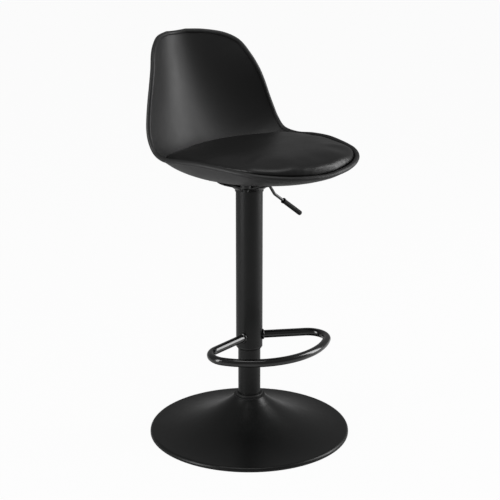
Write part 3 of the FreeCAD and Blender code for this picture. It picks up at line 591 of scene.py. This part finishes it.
@dataclass
class Cushion:
    """The padded seat cushion that lies in the bucket.

    Front, rear and every field ending in _at are places along the bowl's stations, and turn is how far
    behind the front the rear corners begin. Heights, gap and least thickness are in millimetres, voxel
    and most in metres. Points whose normal's z is under the underside value are held while it swells.
    """

    bowl: Bowl
    front: float = 0.32
    rear: float = 10.75
    turn: float = 6.2
    corner_power: float = 0.55
    side: float = 0.962
    rest: float = 606.0
    rest_rear: float = 592.0
    rest_at: tuple[float, float] = (6.0, 9.5)
    gap: float = 0.8
    roll: tuple[float, float, float] = (10.0, 14.0, 3.0)
    roll_at: tuple[float, float, float] = (0.0, 4.0, 9.5)
    crown: float = 2.0
    level: float = 606.0
    level_rear: float = 594.0
    level_at: float = 5.5
    least: float = 1.6
    around: int = 280
    rings: int = 44
    ring_power: float = 0.8
    side_samples: int = 300
    corner_samples: int = 160
    front_samples: int = 80
    voxel: float = 0.0045
    pressure: float = 4.0
    stiffness: float = 25.0
    frames: int = 20
    most: float = 0.0035
    underside: float = -0.3
    settle_steps: int = 40
    settle_factor: float = 0.5

    def share(self, s: Array) -> Array:
        """How far across the cushion reaches: near the rim, or to its resting height if that is lower.

        The face rises to a height as the power of |u|, so the share is the rise's inverse power.

        Args:
            s: places along the stations.

        Returns:
            The largest |u| at each place.
        """
        _, zc, _, _, zr, power = np.moveaxis(self.bowl.station(s), -1, 0)
        rest = np.interp(s, self.rest_at, (self.rest, self.rest_rear))
        rise = np.maximum(rest - zc, 0.5) / np.maximum(zr - zc, 1.0)
        return np.minimum(self.side, np.minimum(rise, 1.0) ** (1 / power))

    def outline(self) -> tuple[Array, Array]:
        """Places of the cushion's edge: straight sides and front, and superellipse corners at the rear.

        Returns:
            The evenly spaced places s and u.
        """
        turn = self.front + self.turn
        angle = np.linspace(0, math.pi / 2, self.corner_samples)
        s_back = turn + (self.rear - turn) * np.sin(angle) ** self.corner_power
        w_back = np.cos(angle) ** self.corner_power
        s_side = np.linspace(self.front, turn, self.side_samples)[:-1]
        s_half = np.concatenate([s_side, s_back])
        w_half = np.concatenate([np.ones(len(s_side)), w_back])
        across = np.linspace(-1, 1, self.front_samples)[1:-1]
        s = np.concatenate([s_half, s_half[::-1][1:], np.full(len(across), self.front)])
        w = np.concatenate([w_half, -w_half[::-1][1:], across])
        u = w * self.share(s)
        return even_loop(s, u, self.bowl.face(s, u), self.around)

    def surfaces(self) -> tuple[Array, Array]:
        """Rings of the underside and of the top, from near the middle to the edge.

        The underside follows the bucket. The top stands over it: a round edge that rises as
        roll * sqrt(1 - r^16), a shallow crown that rises as crown * (1 - r^2), on a level that
        blends from the middle to the edge's own height as r^6.

        Returns:
            Two arrays of rings.
        """
        s_edge, u_edge = self.outline()
        middle = (self.front + self.rear) / 2
        r = (np.linspace(0, 1, self.rings + 1)[1:] ** self.ring_power)[:, None]
        s = middle + (s_edge - middle) * r
        u = u_edge * r
        depth = self.bowl.wall + self.gap
        below = self.bowl.at_depth(s, u, depth)
        edge_z = below[-1, :, 2]
        roll = np.interp(s, self.roll_at, self.roll)
        level = np.interp(s, (self.level_at, self.rear), (self.level, self.level_rear))
        rise = roll * np.sqrt(np.clip(1 - r ** 16, 0, 1)) + self.crown * (1 - r ** 2)
        top_z = level + (edge_z - level) * r ** 6 + rise
        above = below.copy()
        above[..., 2] = np.maximum(top_z, below[..., 2] + self.least)
        return below, above

    def build(self) -> bpy.types.Object:
        """Build the cushion, swell it as cloth under pressure and dress it.

        Returns:
            The finished cushion.
        """
        below, above = self.surfaces()
        middle = np.array([(self.front + self.rear) / 2])
        pole = self.bowl.at_depth(middle, np.array([0.0]), self.bowl.wall + self.gap)[0]
        top_pole = pole.copy()
        top_pole[2] = above[0, :, 2].mean()
        rows = np.concatenate([below, above[::-1]])
        count = rows.shape[0]
        points = np.concatenate([rows.reshape(-1, 3), pole[None], top_pole[None]]) / 1000
        ring = np.arange(self.around)
        faces = [
            grid_faces(count, self.around, True),
            fan_faces(count * self.around, ring, False),
            fan_faces(count * self.around + 1, ring + (count - 1) * self.around, True),
        ]
        piece = make_piece("seat_cushion", points, faces, crease=None)
        fix_normals(piece)
        self.swell(piece)
        dress(piece, HIDE)
        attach(piece, "carriage")
        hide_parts("cushion")
        return piece

    def swell(self, piece: bpy.types.Object) -> None:
        """Remesh the cushion evenly, swell it by cloth simulation and cap how far it moved.

        Args:
            piece: the cushion's object, changed in place.
        """
        view = bpy.context.view_layer
        view.objects.active = piece
        remesh = piece.modifiers.new("even skin", "REMESH")
        remesh.mode = "VOXEL"
        remesh.voxel_size = self.voxel
        apply_modifiers(piece)
        mesh = piece.data
        start = read_points(mesh)
        facing = np.empty(len(mesh.vertices) * 3)
        mesh.vertex_normals.foreach_get("vector", facing)
        group = piece.vertex_groups.new(name="held")
        group.add(np.nonzero(facing.reshape(-1, 3)[:, 2] < self.underside)[0].tolist(), 1.0, "REPLACE")
        cloth = piece.modifiers.new("swell", "CLOTH")
        settings = cloth.settings
        settings.use_pressure = True
        settings.uniform_pressure_force = self.pressure
        settings.vertex_group_mass = "held"
        settings.effector_weights.gravity = 0.0
        settings.tension_stiffness = self.stiffness
        settings.compression_stiffness = self.stiffness
        scene = bpy.context.scene
        for step in range(1, self.frames + 1):
            scene.frame_set(step)
        apply_modifiers(piece)
        scene.frame_set(1)
        moved = read_points(piece.data) - start
        length = np.linalg.norm(moved, axis=1, keepdims=True)
        moved *= np.minimum(1.0, self.most / np.maximum(length, 1e-9))
        write_points(piece.data, start + moved)
        piece.vertex_groups.clear()
        smooth = piece.modifiers.new("settle", "SMOOTH")
        smooth.iterations = self.settle_steps
        smooth.factor = self.settle_factor
        finer = piece.modifiers.new("finer skin", "SUBSURF")
        finer.levels = finer.render_levels = 1
        apply_modifiers(piece)
        piece.data.shade_smooth()


def apply_modifiers(piece: bpy.types.Object) -> None:
    """Replace a piece's mesh by the result of its modifiers and remove them.

    Args:
        piece: the piece, changed in place.
    """
    depsgraph = bpy.context.evaluated_depsgraph_get()
    result = bpy.data.meshes.new_from_object(piece.evaluated_get(depsgraph))
    piece.modifiers.clear()
    piece.data = result


def read_points(mesh: bpy.types.Mesh) -> Array:
    """Read where a mesh's points are.

    Args:
        mesh: the mesh.

    Returns:
        Positions in metres, one row each.
    """
    places = np.empty(len(mesh.vertices) * 3)
    mesh.vertices.foreach_get("co", places)
    return places.reshape(-1, 3)


def write_points(mesh: bpy.types.Mesh, points: Array) -> None:
    """Move a mesh's points to new positions."""
    mesh.vertices.foreach_set("co", points.ravel())
    mesh.update()


@dataclass
class CarriedNodes:
    """The CAD nodes that keep their shape, and the finish of each."""

    finishes: dict[str, Finish] = field(default_factory=lambda: {
        "base_shell": POWDER, "stand_tube": POWDER, "cover_tube": POWDER, "seat_cup": POWDER,
        "seat_plate": POWDER, "taper_hub": POWDER, "lever_bracket": POWDER, "gas_cylinder": POWDER,
        "footrest_hoop": GLOSS, "footrest_welds": GLOSS, "lever_rod": GLOSS,
        "cover_bush": MOULDED, "base_collar": MOULDED, "stand_guide_bush": MOULDED,
        "seat_spacers": MOULDED, "valve_button": MOULDED, "rod_gland": MOULDED,
        "seat_bolts": POWDER, "seat_washers": POWDER, "seat_shell": MOULDED, "cushion": HIDE,
        "lever_grip": RUBBER, "bump_stop": RUBBER, "base_floor_pad": RUBBER,
    })

    def dress_all(self) -> None:
        """Give every CAD node its finish; the ones not named are bare steel."""
        for name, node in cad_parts.items():
            finish = self.finishes.get(name, STEEL)
            dress(node, finish)
            LOG.info("%s: %s", name, finish.name)


# ---------------------------------------------------------------- studio


@dataclass
class Studio:
    """A pale floor, soft lamps and the camera.

    Angles are in degrees, the lens in millimetres and other lengths in metres. Ambient is the surround's
    strength as a light, mirrored the part of the white that gloss shows, and white_share the part of the
    floor that is plain white; the rest of it takes the shadow.
    """

    azimuth: float = -40.0
    elevation: float = 18.009
    distance: float = 3.205
    height: float = 0.3921
    aside: float = 0.00145
    lens: float = 115.2
    sensor: float = 36.0
    far: float = 60.0
    ambient: float = 0.12
    mirrored: float = 0.1
    white_share: float = 0.96
    floor_side: float = 30.0
    floor_colour: tuple[float, float, float, float] = (0.8, 0.8, 0.8, 1.0)
    floor_roughness: float = 0.9
    lamp_aim: float = 0.45

    def view_axes(self) -> tuple[Vector, Vector, Vector]:
        """Work out how the camera is turned.

        Returns:
            Its right, up and back directions.
        """
        a, e = math.radians(self.azimuth), math.radians(self.elevation)
        back = Vector((math.sin(a) * math.cos(e), -math.cos(a) * math.cos(e), math.sin(e)))
        right = Vector((math.cos(a), math.sin(a), 0.0))
        return right, back.cross(right), back

    def camera(self) -> None:
        """Place the camera level, looking at the column a little under the middle of the stool."""
        right, up, back = self.view_axes()
        data = bpy.data.cameras.new("camera")
        data.lens = self.lens
        data.sensor_width = self.sensor
        data.clip_end = self.far
        eye = bpy.data.objects.new("camera", data)
        target = Vector((0.0, 0.0, self.height)) + right * self.aside
        turn = Matrix((right, up, back)).transposed().to_4x4()
        eye.matrix_world = Matrix.Translation(target + back * self.distance) @ turn
        bpy.context.scene.collection.objects.link(eye)
        bpy.context.scene.camera = eye

    def lamp(self, name: str, bearing: float, distance: float, height: float,
             size: tuple[float, float], power: float) -> None:
        """Place a soft lamp round the stool by its bearing from the camera's side.

        Args:
            name: the lamp's name.
            bearing: degrees to the right of the line from the stool to the camera.
            distance: metres from the column, level.
            height: metres above the floor.
            size: width and height of the lamp in metres.
            power: watts.
        """
        right, _, back = self.view_axes()
        level = Vector((back.x, back.y, 0.0)).normalized()
        turn = math.radians(bearing)
        data = bpy.data.lights.new(name, "AREA")
        data.shape = "RECTANGLE"
        data.size, data.size_y = size
        data.energy = power
        lamp = bpy.data.objects.new(name, data)
        outward = right * math.sin(turn) + level * math.cos(turn)
        lamp.location = outward * distance + Vector((0, 0, height))
        aim = Vector((0.0, 0.0, self.lamp_aim)) - lamp.location
        lamp.rotation_euler = aim.to_track_quat("-Z", "Y").to_euler()
        bpy.context.scene.collection.objects.link(lamp)

    def floor(self) -> None:
        """Lay a wide pale floor that looks white and still takes a faint shadow."""
        side = self.floor_side
        corners = side * np.array([[-1.0, -1.0, 0.0], [1.0, -1.0, 0.0], [1.0, 1.0, 0.0], [-1.0, 1.0, 0.0]])
        floor = make_piece("floor", corners, [np.array([[0, 1, 2, 3]])])
        material = bpy.data.materials.new("pale floor")
        material.use_nodes = True
        nodes, links = material.node_tree.nodes, material.node_tree.links
        matt = nodes["Principled BSDF"]
        matt.inputs["Base Color"].default_value = self.floor_colour
        matt.inputs["Roughness"].default_value = self.floor_roughness
        matt.inputs["Specular IOR Level"].default_value = 0.0
        glow = nodes.new("ShaderNodeEmission")
        glow.inputs["Color"].default_value = (1.0, 1.0, 1.0, 1.0)
        glow.inputs["Strength"].default_value = 1.0
        mix = nodes.new("ShaderNodeMixShader")
        links.new(self.seen(nodes, links, self.white_share), mix.inputs[0])
        links.new(matt.outputs[0], mix.inputs[1])
        links.new(glow.outputs[0], mix.inputs[2])
        links.new(mix.outputs[0], nodes["Material Output"].inputs["Surface"])
        floor.data.materials.append(material)

    def seen(self, nodes: bpy.types.Nodes, links: bpy.types.NodeLinks,
             share: float) -> bpy.types.NodeSocket:
        """How much of the white surround a ray sees: all for the camera and glass, less for gloss.

        Args:
            nodes: the nodes of the material or world.
            links: its links.
            share: the value for rays that see it all.

        Returns:
            The socket that holds the value.
        """
        path = nodes.new("ShaderNodeLightPath")

        def combine(operation: str, first: bpy.types.NodeSocket, second: object) -> bpy.types.NodeSocket:
            """Add a Math node on two values.

            Args:
                operation: the sum it does.
                first: a socket.
                second: a socket or a number.

            Returns:
                Its output.
            """
            node = nodes.new("ShaderNodeMath")
            node.operation = operation
            links.new(first, node.inputs[0])
            if isinstance(second, bpy.types.NodeSocket):
                links.new(second, node.inputs[1])
            else:
                node.inputs[1].default_value = second
            return node.outputs[0]

        gloss = combine("MULTIPLY", path.outputs["Is Glossy Ray"], self.mirrored)
        clear = combine("MAXIMUM", path.outputs["Is Camera Ray"], path.outputs["Is Transmission Ray"])
        return combine("MULTIPLY", combine("MAXIMUM", clear, gloss), share)

    def world(self) -> None:
        """Make a surround that is white to the camera and dimmer as a light on the object."""
        world = bpy.data.worlds.new("studio")
        world.use_nodes = True
        nodes, links = world.node_tree.nodes, world.node_tree.links
        ground = nodes["Background"]
        ground.inputs["Color"].default_value = (1.0, 1.0, 1.0, 1.0)
        ground.inputs["Strength"].default_value = self.ambient
        white = nodes.new("ShaderNodeBackground")
        white.inputs["Color"].default_value = (1.0, 1.0, 1.0, 1.0)
        white.inputs["Strength"].default_value = 1.0
        mix = nodes.new("ShaderNodeMixShader")
        links.new(self.seen(nodes, links, 1.0), mix.inputs[0])
        links.new(ground.outputs[0], mix.inputs[1])
        links.new(white.outputs[0], mix.inputs[2])
        links.new(mix.outputs[0], nodes["World Output"].inputs["Surface"])
        bpy.context.scene.world = world

    def build(self) -> None:
        """Build the whole studio."""
        self.camera()
        self.floor()
        self.world()
        self.lamp("left strip", -62.0, 2.4, 1.1, (0.7, 2.0), 30.0)
        self.lamp("right strip", 100.0, 2.3, 1.2, (0.9, 2.0), 38.0)
        self.lamp("top", 0.0, 0.4, 2.8, (1.2, 1.2), 12.0)
        bpy.context.scene.view_settings.view_transform = "Standard"


def main() -> None:
    """Build every sub-assembly in order and note each one."""
    logging.basicConfig(level=logging.INFO, format="%(message)s")
    Studio().build()
    bowl = Bowl()
    CarriedNodes().dress_all()
    for assembly in (BucketShell(bowl), Cushion(bowl)):
        piece = assembly.build()
        LOG.info("%s: %d faces", piece.name, len(piece.data.polygons))


if __name__ == "__main__":
    main()
